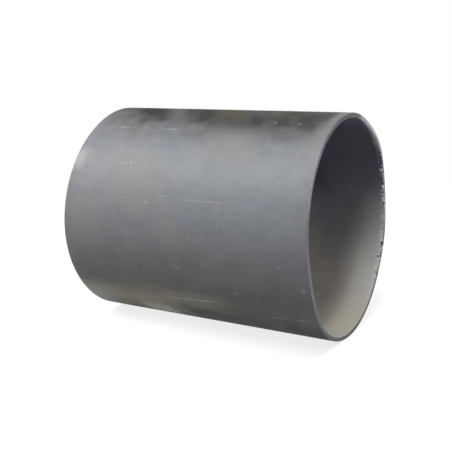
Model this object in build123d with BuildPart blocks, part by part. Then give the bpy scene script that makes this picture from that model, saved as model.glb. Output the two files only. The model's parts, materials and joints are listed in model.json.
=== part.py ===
"""Plain-ended PVC drain pipe: one straight extruded tube, sawn square to length and lying on its side.

The frame is in millimetres with +Z up. The pipe's axis runs along X, the origin is on the floor under
the middle of the pipe, and the end at +X is the one that faces the viewer.
"""

import os

from build123d import *

# Driving dimensions of the stock
outside_diameter = 250.0
wall = 5.4
cut_length = 300.0

# Edge breaks left on the two sawn ends
outer_edge_break = 0.8
bore_edge_break = 0.5

# Sizes that follow from those
outside_radius = outside_diameter / 2
bore_radius = outside_radius - wall

# The end plane at -X, with the pipe's axis as its normal and the floor one radius below
sawn_end = Plane(origin=(-cut_length / 2, 0, outside_radius), x_dir=(0, 1, 0), z_dir=(1, 0, 0))

with BuildPart() as drain_pipe:
    with BuildSketch(sawn_end):
        Circle(outside_radius)
        Circle(bore_radius, mode=Mode.SUBTRACT)
    extrude(amount=cut_length)

    rims = drain_pipe.edges().filter_by(GeomType.CIRCLE).group_by(SortBy.RADIUS)
    fillet(rims[-1], radius=outer_edge_break)
    chamfer(rims[0], length=bore_edge_break)

drain_pipe.part.label = "drain_pipe"

os.makedirs("parts", exist_ok=True)
export_step(drain_pipe.part, "parts/drain_pipe.step")
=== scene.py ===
"""Looks of a short length of grey PVC drain pipe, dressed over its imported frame.

The pipe lies along X on the floor. A place on it is an axial distance from the middle of its length and an
angle around it: 0 degrees at the crown, 90 on the side that faces the camera, 180 on the floor and 270 on
the far side. Marks, tears and cuts are placed in millimetres and degrees, and the camera, the lamps and the
sky have their angles in degrees. Everything else is in metres and radians.
"""

import json
import logging
import math
from dataclasses import dataclass
from enum import Enum

import bpy
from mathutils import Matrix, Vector


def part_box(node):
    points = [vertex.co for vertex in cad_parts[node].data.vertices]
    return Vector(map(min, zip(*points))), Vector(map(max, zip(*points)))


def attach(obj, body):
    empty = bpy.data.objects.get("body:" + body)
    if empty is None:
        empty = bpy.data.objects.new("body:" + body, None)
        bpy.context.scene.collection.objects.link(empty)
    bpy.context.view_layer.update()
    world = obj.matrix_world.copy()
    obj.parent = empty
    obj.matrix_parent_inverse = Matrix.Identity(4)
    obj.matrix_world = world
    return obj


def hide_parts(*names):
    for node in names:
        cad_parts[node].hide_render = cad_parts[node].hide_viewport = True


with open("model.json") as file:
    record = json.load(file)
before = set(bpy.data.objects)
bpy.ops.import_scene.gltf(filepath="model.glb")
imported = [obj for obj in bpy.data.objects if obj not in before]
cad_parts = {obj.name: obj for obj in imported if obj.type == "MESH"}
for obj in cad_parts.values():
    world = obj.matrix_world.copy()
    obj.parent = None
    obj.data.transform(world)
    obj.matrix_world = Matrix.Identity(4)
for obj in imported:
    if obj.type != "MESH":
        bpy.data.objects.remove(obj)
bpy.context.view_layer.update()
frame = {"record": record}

log = logging.getLogger("drain_pipe_scene")

PIPE_NODE = "drain_pipe"
PIPE_BODY = "root"
MILLIMETRE = 0.001
TORN_ATTRIBUTE = "torn"
SURFACE_ATTRIBUTE = "surface"
SHADER_TREE = "ShaderNodeTree"
GEOMETRY_TREE = "GeometryNodeTree"
WHITE = (1.0, 1.0, 1.0, 1.0)

# Noise stays near 0.5, so a wide range of it fades softly and a narrow one has crisp edges
SOFT_RANGE = (0.30, 0.70)
EVEN_RANGE = (0.36, 0.64)
CRISP_RANGE = (0.42, 0.58)

# A chip's hollow, darkened with painted shade, and the shares of a torn stretch's half turn where its
# amount starts and stops fading
PAINTED_HOLLOW_SHADE = (0.120, 0.119, 0.126, 1.0)
HOLLOW_SHARE = 0.8
TEAR_CORE = 0.7
TEAR_END = 1.15

Colour = tuple[float, float, float, float]
Socket = bpy.types.NodeSocket


class SocketKind(Enum):
    """The kinds of socket that the node groups have."""

    FLOAT = "NodeSocketFloat"
    COUNT = "NodeSocketInt"
    VECTOR = "NodeSocketVector"
    OBJECT = "NodeSocketObject"
    MATERIAL = "NodeSocketMaterial"
    GEOMETRY = "NodeSocketGeometry"

    def ports(self, *names: str) -> dict[str, "SocketKind"]:
        """Names ports of this kind."""
        return dict.fromkeys(names, self)


class PipeEnd(Enum):
    """The two sawn ends, by the sign of their place along X."""

    NEAR = 1.0
    FAR = -1.0


class Surface(Enum):
    """The kinds of surface on the wall, by the number that their faces carry."""

    SKIN = 0
    BORE = 1
    SAWN = 2


class ScratchTone(Enum):
    """What a scratch leaves on the skin."""

    PALE = (0.46, 0.46, 0.445, 1.0)
    DARK = (0.055, 0.055, 0.053, 1.0)


@dataclass(frozen=True)
class AxisPlace:
    """A place measured from the pipe's axis: along it, beside it, above it and around it."""

    axial: Socket
    side: Socket
    rise: Socket
    around: Socket


class Weaver:
    """Adds nodes to one node tree and links them."""

    def __init__(self, tree: bpy.types.NodeTree) -> None:
        """Keeps the tree that the nodes go into."""
        self.tree = tree

    def feed(self, socket: Socket, value: object) -> None:
        """Links a socket to another, or sets its own value.

        Args:
            socket: The input to feed.
            value: An output socket to link from, or a plain value.
        """
        if isinstance(value, bpy.types.NodeSocket):
            self.tree.links.new(value, socket)
        else:
            socket.default_value = value

    def node(
        self, kind: str, inputs: dict[str, object] | None = None, **settings: object
    ) -> bpy.types.Node:
        """Adds one node.

        Args:
            kind: Blender's name for the node's type.
            inputs: What feeds its inputs, by identifier or by name.
            settings: The node's own options.

        Returns:
            The new node.
        """
        node = self.tree.nodes.new(kind)
        for name, value in settings.items():
            setattr(node, name, value)
        for wanted, value in (inputs or {}).items():
            socket = next(socket for socket in node.inputs if wanted in (socket.identifier, socket.name))
            self.feed(socket, value)
        return node

    def first(self, kind: str, inputs: dict[str, object] | None = None, **settings: object) -> Socket:
        """Adds one node and takes its first output.

        Args:
            kind: Blender's name for the node's type.
            inputs: What feeds its inputs, by identifier or by name.
            settings: The node's own options.

        Returns:
            The output's socket.
        """
        return self.node(kind, inputs, **settings).outputs[0]

    def math(self, operation: str, *values: object) -> Socket:
        """Adds a Math node.

        Args:
            operation: The operation's name.
            values: Its one to three values, sockets or numbers.

        Returns:
            The result's socket.
        """
        node = self.node("ShaderNodeMath", operation=operation)
        for socket, value in zip(node.inputs, values):
            self.feed(socket, value)
        return node.outputs[0]

    def vector(self, operation: str, *values: object) -> Socket:
        """Adds a Vector Math node.

        Args:
            operation: The operation's name.
            values: Its one or two vectors, sockets or tuples.

        Returns:
            The result's socket: a number for LENGTH and DOT_PRODUCT, otherwise a vector.
        """
        node = self.node("ShaderNodeVectorMath", operation=operation)
        for socket, value in zip(node.inputs, values):
            self.feed(socket, value)
        return node.outputs["Value" if operation in ("LENGTH", "DOT_PRODUCT") else "Vector"]

    def scaled(self, vector: Socket, factor: object) -> Socket:
        """Multiplies a vector by a number.

        Args:
            vector: The vector.
            factor: A socket or a number.

        Returns:
            The scaled vector's socket.
        """
        return self.first("ShaderNodeVectorMath", {"Vector": vector, "Scale": factor}, operation="SCALE")

    def join(self, x: object, y: object, z: object) -> Socket:
        """Makes a vector of three numbers.

        Args:
            x: The first number, a socket or plain.
            y: The second.
            z: The third.

        Returns:
            The vector's socket.
        """
        return self.first("ShaderNodeCombineXYZ", {"X": x, "Y": y, "Z": z})

    def fade(
        self, value: Socket, start: object, stop: object, low: object = 0.0, high: object = 1.0
    ) -> Socket:
        """Eases from one number to another while a value crosses a range.

        Args:
            value: The value that crosses the range.
            start: Where the result is still low.
            stop: Where it is high.
            low: The result before the range.
            high: The result after it.

        Returns:
            The eased number's socket.
        """
        crossing = {"Value": value, "From Min": start, "From Max": stop, "To Min": low, "To Max": high}
        return self.first("ShaderNodeMapRange", crossing, interpolation_type="SMOOTHSTEP")

    def between(self, share: Socket, low: object, high: object) -> Socket:
        """Goes straight from one number to another.

        Args:
            share: 0 for the first number and 1 for the second.
            low: The first number.
            high: The second number.

        Returns:
            The number's socket.
        """
        return self.first("ShaderNodeMapRange", {"Value": share, "To Min": low, "To Max": high})

    def weigh(self, under: Socket, over: Socket, share: float) -> Socket:
        """Adds two values up by their shares.

        Args:
            under: The first value.
            over: The second value.
            share: The second value's share of the sum, from 0 to 1.

        Returns:
            The sum's socket.
        """
        return self.math("MULTIPLY_ADD", over, share, self.math("MULTIPLY", under, 1.0 - share))

    def mix(self, share: object, under: object, over: object) -> Socket:
        """Lays one colour over another.

        Args:
            share: How much of the upper colour shows, from 0 to 1.
            under: The lower colour.
            over: The upper colour.

        Returns:
            The mixed colour's socket.
        """
        node = self.node(
            "ShaderNodeMix", {"Factor_Float": share, "A_Color": under, "B_Color": over}, data_type="RGBA"
        )
        return next(socket for socket in node.outputs if socket.identifier == "Result_Color")

    def noise(self, place: Socket, size: object, detail: float = 4.0, seed: object = 0.0) -> Socket:
        """Adds cloudy noise.

        Args:
            place: Where it is read.
            size: The size of its lumps, a socket or a number.
            detail: How many finer layers it has.
            seed: A number that picks one of many patterns.

        Returns:
            The noise's socket, from 0 to 1 and mostly near 0.5.
        """
        scale = self.math("DIVIDE", 1.0, size)
        lumps = {"Vector": place, "W": seed, "Scale": scale, "Detail": detail}
        return self.first("ShaderNodeTexNoise", lumps, noise_dimensions="4D")

    def from_axis(self, place: Socket, height: Socket) -> AxisPlace:
        """Measures a place from the pipe's axis.

        Args:
            place: The place in the frame.
            height: How high the axis is over the floor.

        Returns:
            The measured place.
        """
        part = self.node("ShaderNodeSeparateXYZ", {"Vector": place}).outputs
        rise = self.math("SUBTRACT", part["Z"], height)
        around = self.math("ARCTAN2", self.math("MULTIPLY", part["Y"], -1.0), rise)
        return AxisPlace(part["X"], part["Y"], rise, around)


class NodeGroup(Weaver):
    """A node tree with named sockets, for shaders or for geometry."""

    def __init__(
        self, name: str, kind: str, inputs: dict[str, SocketKind], outputs: dict[str, SocketKind]
    ) -> None:
        """Makes the tree and its sockets.

        Args:
            name: The tree's name.
            kind: The tree's type, for shaders or for geometry.
            inputs: The kind of each input, by name.
            outputs: The kind of each output, by name.
        """
        super().__init__(bpy.data.node_groups.new(name, kind))
        for way, ports in (("INPUT", inputs), ("OUTPUT", outputs)):
            for port, socket_kind in ports.items():
                self.tree.interface.new_socket(name=port, in_out=way, socket_type=socket_kind.value)
        self.given = self.node("NodeGroupInput").outputs
        self.result = self.node("NodeGroupOutput").inputs

    def put_out(self, port: str, value: Socket) -> None:
        """Links a value to one of the group's outputs."""
        self.feed(self.result[port], value)


@dataclass(frozen=True)
class PipeStock:
    """Sizes of the pipe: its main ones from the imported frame, and the breaks of its sawn edges."""

    length: float
    outer_radius: float
    bore_radius: float
    outer_edge_break: float = 0.8 * MILLIMETRE
    bore_edge_break: float = 0.5 * MILLIMETRE

    @classmethod
    def from_frame(cls) -> "PipeStock":
        """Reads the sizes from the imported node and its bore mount.

        Returns:
            The pipe's sizes.
        """
        low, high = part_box(PIPE_NODE)
        bore = next(mount for mount in frame["record"]["mounts"] if mount["name"] == "bore")
        return cls(
            length=high.x - low.x,
            outer_radius=(high.z - low.z) / 2,
            bore_radius=bore["dims"]["r_mm"] * MILLIMETRE,
        )


@dataclass(frozen=True)
class Patch:
    """One soft patch of dirt, wear, painted light or painted shade, placed in millimetres along the pipe
    and degrees around it.
    """

    axial: float
    around: float
    half_length: float
    half_turn: float
    colour: Colour
    strength: float
    ragged: float = 0.45
    soft: float = 0.45
    lean: float = 0.0
    dulls: float = 1.0
    speckled: bool = False


@dataclass(frozen=True)
class Scratch:
    """One scratch from start to end, each in millimetres along the pipe and degrees around it."""

    start: tuple[float, float]
    end: tuple[float, float]
    width: float
    strength: float
    tone: ScratchTone = ScratchTone.PALE
    broken: float = 0.5


@dataclass(frozen=True)
class Tear:
    """One stretch of a bore's edge that the saw tore: its middle and half its turn in degrees.

    Chips is how much of the edge is broken out there, and flakes is the share of places with a loose flake.
    """

    around: float
    half_turn: float
    chips: float
    flakes: float


@dataclass(frozen=True)
class RunOff:
    """One stretch where the saw left the square cut: its middle and half its turn in degrees.

    Rise is how far the pipe is longer there, in millimetres.
    """

    around: float
    half_turn: float
    rise: float


NEAR_RUN_OFF = (
    RunOff(38.0, 40.0, -0.8),
    RunOff(112.0, 50.0, 3.0),
    RunOff(254.0, 20.0, 0.6),
    RunOff(313.0, 26.0, 2.0),
)
FAR_RUN_OFF = (
    RunOff(32.0, 30.0, -1.0),
    RunOff(102.0, 45.0, 1.6),
    RunOff(285.0, 60.0, -1.5),
)
NEAR_TEARS = (
    Tear(335.0, 10.0, 0.55, 0.10),
    Tear(303.0, 6.0, 1.15, 0.20),
    Tear(293.5, 3.0, 1.10, 0.90),
    Tear(279.5, 7.5, 1.00, 0.90),
    Tear(262.0, 8.0, 0.70, 0.30),
    Tear(248.0, 5.0, 0.80, 0.90),
    Tear(237.0, 7.0, 0.74, 0.60),
    Tear(170.0, 16.0, 0.52, 0.0),
)
FAR_TEARS = (
    Tear(58.0, 9.0, 1.10, 0.50),
    Tear(92.0, 16.0, 1.30, 0.40),
    Tear(128.0, 9.0, 0.90, 0.30),
    Tear(250.0, 12.0, 0.75, 0.15),
)


class WeatherEffects:
    """Shader node groups that the pipe's finishes share, each made once."""

    def __init__(self, stock: PipeStock) -> None:
        """Makes all the groups.

        Args:
            stock: The pipe's sizes.
        """
        self.stock = stock
        self.pipe_place = self.make_pipe_place()
        self.soft_patch = self.make_soft_patch()
        self.scratch_stroke = self.make_scratch_stroke()
        self.draw_lines = self.make_draw_lines()
        self.nicks = self.make_nicks()
        self.saw_scores = self.make_saw_scores()
        self.torn_tones = self.make_torn_tones()

    @staticmethod
    def make_pipe_place() -> NodeGroup:
        """Turns a place in the frame into a place on the pipe.

        Returns:
            The group. Turned is (axial, angle around, 0), Flat is (axial, arc around, 0), and Reach is the
            distance from the pipe's axis.
        """
        group = NodeGroup(
            "pipe_place",
            SHADER_TREE,
            SocketKind.VECTOR.ports("Place") | SocketKind.FLOAT.ports("Outer Radius"),
            SocketKind.VECTOR.ports("Turned", "Flat") | SocketKind.FLOAT.ports("Reach"),
        )
        radius = group.given["Outer Radius"]
        spot = group.from_axis(group.given["Place"], radius)
        group.put_out("Turned", group.join(spot.axial, spot.around, 0.0))
        group.put_out("Flat", group.join(spot.axial, group.math("MULTIPLY", spot.around, radius), 0.0))
        group.put_out("Reach", group.vector("LENGTH", group.join(0.0, spot.side, spot.rise)))
        return group

    @staticmethod
    def make_soft_patch() -> NodeGroup:
        """Makes a rounded patch with a ragged, soft edge, which may lean as it goes around.

        Returns:
            The group, whose Mask is 1 inside the patch.
        """
        lump_gain = 4.0
        numbers = ("Lumps", "Axial", "Around", "Half Length", "Half Turn", "Lean", "Ragged", "Soft")
        ports = SocketKind.VECTOR.ports("Turned") | SocketKind.FLOAT.ports(*numbers)
        group = NodeGroup("soft_patch", SHADER_TREE, ports, SocketKind.FLOAT.ports("Mask"))
        given = group.given
        part = group.node("ShaderNodeSeparateXYZ", {"Vector": given["Turned"]}).outputs
        turn = group.math("WRAP", group.math("SUBTRACT", part["Y"], given["Around"]), math.pi, -math.pi)
        turn_share = group.math("DIVIDE", turn, given["Half Turn"])
        along = group.math("SUBTRACT", part["X"], given["Axial"])
        leaned = group.math("SUBTRACT", along, group.math("MULTIPLY", turn_share, given["Lean"]))
        along_share = group.math("DIVIDE", leaned, given["Half Length"])
        fourths = []
        for share in (along_share, turn_share):
            square = group.math("MULTIPLY", share, share)
            fourths.append(group.math("MULTIPLY", square, square))
        outness = group.math("SQRT", group.math("SQRT", group.math("ADD", *fourths)))
        swing = group.math("MULTIPLY", group.math("SUBTRACT", given["Lumps"], 0.5), given["Ragged"])
        edge = group.math("MULTIPLY_ADD", swing, lump_gain, outness)
        outside = group.math("ADD", 1.0, given["Soft"])
        inside = group.math("SUBTRACT", 1.0, given["Soft"])
        group.put_out("Mask", group.fade(edge, inside, outside, 1.0, 0.0))
        return group

    @staticmethod
    def make_scratch_stroke() -> NodeGroup:
        """Makes one thin scratch, which tapers at its ends and is broken in places.

        Returns:
            The group, whose Mask is 1 in the scratch.
        """
        taper_from = 0.25
        tip_share = 0.35
        core_share = 0.25
        ports = SocketKind.VECTOR.ports("Flat", "Start", "End")
        ports |= SocketKind.FLOAT.ports("Width", "Gaps", "Broken")
        group = NodeGroup("scratch_stroke", SHADER_TREE, ports, SocketKind.FLOAT.ports("Mask"))
        given = group.given
        whole = group.vector("SUBTRACT", given["End"], given["Start"])
        reached = group.vector("SUBTRACT", given["Flat"], given["Start"])
        share = group.math(
            "DIVIDE", group.vector("DOT_PRODUCT", reached, whole), group.vector("DOT_PRODUCT", whole, whole)
        )
        held = group.math("MINIMUM", group.math("MAXIMUM", share, 0.0), 1.0)
        off = group.vector("LENGTH", group.vector("SUBTRACT", reached, group.scaled(whole, held)))
        from_middle = group.math("ABSOLUTE", group.math("SUBTRACT", held, 0.5))
        taper = group.fade(from_middle, taper_from, 0.5, 1.0, tip_share)
        width = group.math("MULTIPLY", given["Width"], taper)
        mask = group.fade(off, group.math("MULTIPLY", width, core_share), width, 1.0, 0.0)
        kept = group.math("SUBTRACT", 1.0, group.math("MULTIPLY", given["Broken"], given["Gaps"]))
        group.put_out("Mask", group.math("MULTIPLY", mask, kept))
        return group

    @staticmethod
    def make_draw_lines() -> NodeGroup:
        """Makes the fine lines that the extruder's die draws along the pipe.

        Returns:
            The group, whose Lines go from 0 to 1.
        """
        drawn_out = (0.012, 1.0, 1.0)
        coarse_size = 7.0 * MILLIMETRE
        fine_size = 1.4 * MILLIMETRE
        fine_share = 0.4
        ports = SocketKind.VECTOR.ports("Place")
        group = NodeGroup("draw_lines", SHADER_TREE, ports, SocketKind.FLOAT.ports("Lines"))
        place = group.vector("MULTIPLY", group.given["Place"], drawn_out)
        coarse = group.noise(place, coarse_size, detail=3.0, seed=2.0)
        fine = group.noise(place, fine_size, detail=2.0, seed=5.0)
        group.put_out("Lines", group.weigh(coarse, fine, fine_share))
        return group

    @staticmethod
    def make_nicks() -> NodeGroup:
        """Makes short scattered dashes along the pipe.

        Returns:
            The group, whose Mask is 1 in a dash. Share is how many of the cells hold one.
        """
        dash_core = 0.18
        dash_rim = 0.45
        ports = SocketKind.VECTOR.ports("Flat") | SocketKind.FLOAT.ports("Length", "Width", "Share")
        group = NodeGroup("nicks", SHADER_TREE, ports, SocketKind.FLOAT.ports("Mask"))
        given = group.given
        across = group.join(
            group.math("DIVIDE", 1.0, given["Length"]), group.math("DIVIDE", 1.0, given["Width"]), 1.0
        )
        cells = group.node(
            "ShaderNodeTexVoronoi",
            {"Vector": group.vector("MULTIPLY", given["Flat"], across), "Scale": 1.0},
            voronoi_dimensions="2D",
        ).outputs
        chance = group.node("ShaderNodeSeparateColor", {"Color": cells["Color"]}).outputs["Red"]
        picked = group.math("LESS_THAN", chance, given["Share"])
        dash = group.fade(cells["Distance"], dash_core, dash_rim, 1.0, 0.0)
        group.put_out("Mask", group.math("MULTIPLY", dash, picked))
        return group

    @staticmethod
    def make_saw_scores() -> NodeGroup:
        """Makes the nearly parallel scores that a hand saw leaves across a cut face.

        Returns:
            The group, whose Scores go from 0 to 1.
        """
        saw_turn = (math.radians(24.0), 0.0, 0.0)
        drawn_out = (0.0, 0.06, 1.0)
        coarse_size = 1.6 * MILLIMETRE
        fine_size = 0.5 * MILLIMETRE
        fine_share = 0.35
        ports = SocketKind.VECTOR.ports("Place")
        group = NodeGroup("saw_scores", SHADER_TREE, ports, SocketKind.FLOAT.ports("Scores"))
        strokes = {"Vector": group.given["Place"], "Rotation": saw_turn, "Scale": drawn_out}
        place = group.first("ShaderNodeMapping", strokes)
        coarse = group.noise(place, coarse_size, detail=2.0, seed=1.0)
        fine = group.noise(place, fine_size, detail=2.0, seed=3.0)
        group.put_out("Scores", group.weigh(coarse, fine, fine_share))
        return group

    @staticmethod
    def make_torn_tones() -> NodeGroup:
        """Parts a chip into its whitened border and its hollow, which is darkened with painted shade.

        Returns:
            The group, whose White and Dark are masks. Torn is how deep the chip is, from 0 to 1.
        """
        lump_size = 2.4 * MILLIMETRE
        lump_range = (0.40, 0.56)
        least_white = 0.35
        rim_range = (0.03, 0.14)
        border_end = (0.30, 0.50)
        hollow_range = (0.38, 0.62)
        ports = SocketKind.VECTOR.ports("Place") | SocketKind.FLOAT.ports("Torn")
        group = NodeGroup("torn_tones", SHADER_TREE, ports, SocketKind.FLOAT.ports("White", "Dark"))
        torn = group.given["Torn"]
        lumps = group.noise(group.given["Place"], lump_size, detail=3.0, seed=6.0)
        patchy = group.fade(lumps, *lump_range, least_white, 1.0)
        past_rim = group.fade(torn, *rim_range)
        before_hollow = group.fade(torn, *border_end, 1.0, 0.0)
        border = group.math("MULTIPLY", past_rim, before_hollow)
        group.put_out("White", group.math("MULTIPLY", border, patchy))
        group.put_out("Dark", group.fade(torn, *hollow_range))
        return group


class FinishTree(Weaver):
    """One material's node tree, with its shader and its place on the pipe."""

    LUMP_SIZE = 20.0 * MILLIMETRE
    GAP_SIZE = 4.0 * MILLIMETRE

    def __init__(self, name: str, effects: WeatherEffects, specular: float = 0.5) -> None:
        """Starts the material.

        Args:
            name: The material's name.
            effects: The groups that it may use.
            specular: The strength of its shine.
        """
        self.material = bpy.data.materials.new(name)
        self.material.use_nodes = True
        super().__init__(self.material.node_tree)
        self.effects = effects
        self.shader = self.tree.nodes["Principled BSDF"]
        self.shader.inputs["Specular IOR Level"].default_value = specular
        self.place = self.node("ShaderNodeTexCoord").outputs["Object"]
        places = self.effect(
            effects.pipe_place, {"Place": self.place, "Outer Radius": effects.stock.outer_radius}
        )
        self.turned = places["Turned"]
        self.flat = places["Flat"]
        self.reach = places["Reach"]
        self.lumps = self.noise(self.place, self.LUMP_SIZE, detail=6.0, seed=1.0)
        self.gaps = self.fade(self.noise(self.place, self.GAP_SIZE, detail=3.0, seed=9.0), *CRISP_RANGE)

    def effect(self, group: NodeGroup, inputs: dict[str, object]) -> bpy.types.bpy_prop_collection:
        """Places a shared group in this material.

        Args:
            group: The group.
            inputs: What feeds its inputs, by name.

        Returns:
            The group's outputs.
        """
        return self.node("ShaderNodeGroup", inputs, node_tree=group.tree).outputs

    def patch(self, patch: Patch) -> Socket:
        """Places one patch.

        Args:
            patch: The patch.

        Returns:
            Its mask, up to its strength.
        """
        mask = self.effect(
            self.effects.soft_patch,
            {
                "Lumps": self.lumps,
                "Turned": self.turned,
                "Axial": patch.axial * MILLIMETRE,
                "Around": math.radians(patch.around),
                "Half Length": patch.half_length * MILLIMETRE,
                "Half Turn": math.radians(patch.half_turn),
                "Lean": patch.lean * MILLIMETRE,
                "Ragged": patch.ragged,
                "Soft": patch.soft,
            },
        )["Mask"]
        return self.math("MULTIPLY", mask, patch.strength)

    def scratch(self, scratch: Scratch) -> Socket:
        """Places one scratch.

        Args:
            scratch: The scratch.

        Returns:
            Its mask, up to its strength.
        """
        radius = self.effects.stock.outer_radius
        ends = []
        for axial, around in (scratch.start, scratch.end):
            turn = math.remainder(math.radians(around), 2.0 * math.pi)
            ends.append((axial * MILLIMETRE, turn * radius, 0.0))
        mask = self.effect(
            self.effects.scratch_stroke,
            {
                "Flat": self.flat,
                "Start": ends[0],
                "End": ends[1],
                "Width": scratch.width * MILLIMETRE,
                "Gaps": self.gaps,
                "Broken": scratch.broken,
            },
        )["Mask"]
        return self.math("MULTIPLY", mask, scratch.strength)

    def torn_marks(self, colour: Socket, white: Colour, white_share: float) -> Socket:
        """Tones the chips: a whitened border round a hollow darkened with painted shade.

        Args:
            colour: The colour beside the chips.
            white: The border's colour.
            white_share: How much of the border shows.

        Returns:
            The toned colour's socket.
        """
        torn = self.node("ShaderNodeAttribute", attribute_name=TORN_ATTRIBUTE).outputs["Fac"]
        tones = self.effect(self.effects.torn_tones, {"Place": self.place, "Torn": torn})
        colour = self.mix(self.math("MULTIPLY", tones["White"], white_share), colour, white)
        return self.mix(self.math("MULTIPLY", tones["Dark"], HOLLOW_SHARE), colour, PAINTED_HOLLOW_SHADE)

    def wear(self, colour: Socket, roughness: Socket, height: Socket) -> bpy.types.Material:
        """Links the finished colour, roughness and relief to the shader.

        Args:
            colour: The base colour.
            roughness: The roughness.
            height: The relief, in metres.

        Returns:
            The material.
        """
        bump = self.node("ShaderNodeBump", {"Height": height, "Distance": 1.0, "Strength": 1.0})
        self.feed(self.shader.inputs["Base Color"], colour)
        self.feed(self.shader.inputs["Roughness"], roughness)
        self.feed(self.shader.inputs["Normal"], bump.outputs["Normal"])
        return self.material


GRIME_AND_SHADE_FILM = (0.046, 0.046, 0.043, 1.0)
GRIME_DARK = (0.018, 0.019, 0.020, 1.0)
GRIME_BROWN = (0.066, 0.055, 0.036, 1.0)
GRIME_OLIVE = (0.052, 0.051, 0.037, 1.0)
BARE_GREY = (0.170, 0.180, 0.190, 1.0)
WARM_DUST = (0.205, 0.200, 0.188, 1.0)
MUD_AND_BOUNCE_LIGHT = (0.420, 0.392, 0.330, 1.0)
PAINTED_GROUND_REFLECTION = (0.900, 0.890, 0.820, 1.0)
SOIL_AND_UNDERSIDE_SHADE = (0.105, 0.098, 0.084, 1.0)
CHALK_AND_HIGHLIGHT = (0.440, 0.445, 0.435, 1.0)

CROWN_GRIME_AND_SHADE = (
    # The first two patches darken the crown along the whole pipe: partly grime, partly painted shade on the
    # top of the pipe
    Patch(4.0, -3.0, 152.0, 36.0, GRIME_AND_SHADE_FILM, 0.92, ragged=0.16, soft=0.50),
    Patch(80.0, 25.0, 78.0, 13.0, GRIME_AND_SHADE_FILM, 0.55, ragged=0.25, soft=0.60),
    Patch(10.0, 10.0, 26.0, 12.0, GRIME_BROWN, 0.68, ragged=0.55, soft=0.75, lean=15.0),
    Patch(94.0, 9.0, 32.0, 10.0, GRIME_OLIVE, 0.70, ragged=0.55, soft=0.75, lean=8.0),
    Patch(48.0, 23.0, 52.0, 5.0, GRIME_DARK, 0.28, ragged=0.30, soft=0.70),
    Patch(-91.0, 11.0, 18.0, 12.0, GRIME_DARK, 0.80, ragged=0.50, soft=0.75, lean=15.0),
    Patch(-18.0, 12.0, 12.0, 12.0, GRIME_DARK, 0.70, ragged=0.50, soft=0.75, lean=15.0),
    Patch(57.0, 21.0, 7.0, 7.0, GRIME_DARK, 0.55, ragged=0.30, soft=0.60, lean=6.0),
    Patch(88.0, 22.0, 9.0, 5.0, GRIME_DARK, 0.55, ragged=0.25, soft=0.60, lean=6.0),
    Patch(117.0, 22.0, 12.0, 8.0, GRIME_DARK, 0.60, ragged=0.25, soft=0.60, lean=8.0),
    Patch(-128.0, 23.0, 17.0, 7.0, GRIME_BROWN, 0.28, ragged=0.25, soft=0.70, lean=8.0, dulls=0.3),
    Patch(-66.0, 16.0, 9.0, 5.0, GRIME_OLIVE, 0.45, ragged=0.25, soft=0.60, lean=8.0),
    Patch(-59.0, 11.0, 11.0, 13.0, BARE_GREY, 0.28, ragged=0.55, soft=0.80, lean=15.0, dulls=0.0),
    Patch(64.0, 4.0, 6.0, 8.0, BARE_GREY, 0.15, ragged=0.50, soft=0.80, lean=9.0, dulls=0.0),
    Patch(104.0, 5.0, 5.0, 8.0, BARE_GREY, 0.12, ragged=0.20, soft=0.70, lean=8.0, dulls=0.0),
    Patch(-136.0, 14.0, 11.0, 17.0, BARE_GREY, 0.24, ragged=0.20, soft=0.60, lean=6.0, dulls=0.0),
    Patch(146.0, 14.0, 5.5, 19.0, BARE_GREY, 0.48, ragged=0.20, soft=0.60, dulls=0.0),
    Patch(-147.0, 28.0, 9.0, 10.0, BARE_GREY, 0.40, ragged=0.20, soft=0.70, dulls=0.0),
    Patch(-40.0, 9.0, 11.0, 9.0, GRIME_DARK, 0.30, ragged=0.25, soft=0.70, lean=12.0),
    Patch(147.0, 8.0, 6.0, 12.0, CHALK_AND_HIGHLIGHT, 0.14, soft=0.80, dulls=0.1),
    Patch(118.0, 9.0, 26.0, 8.0, GRIME_DARK, 0.35, ragged=0.25, soft=0.70),
    Patch(-130.0, 8.0, 24.0, 8.0, GRIME_DARK, 0.30, ragged=0.25, soft=0.70),
    Patch(60.0, -24.0, 34.0, 12.0, GRIME_BROWN, 0.55, ragged=0.60, soft=0.75, lean=10.0),
    Patch(-70.0, -21.0, 40.0, 11.0, GRIME_DARK, 0.55, ragged=0.60, soft=0.75, lean=10.0),
)
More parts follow.
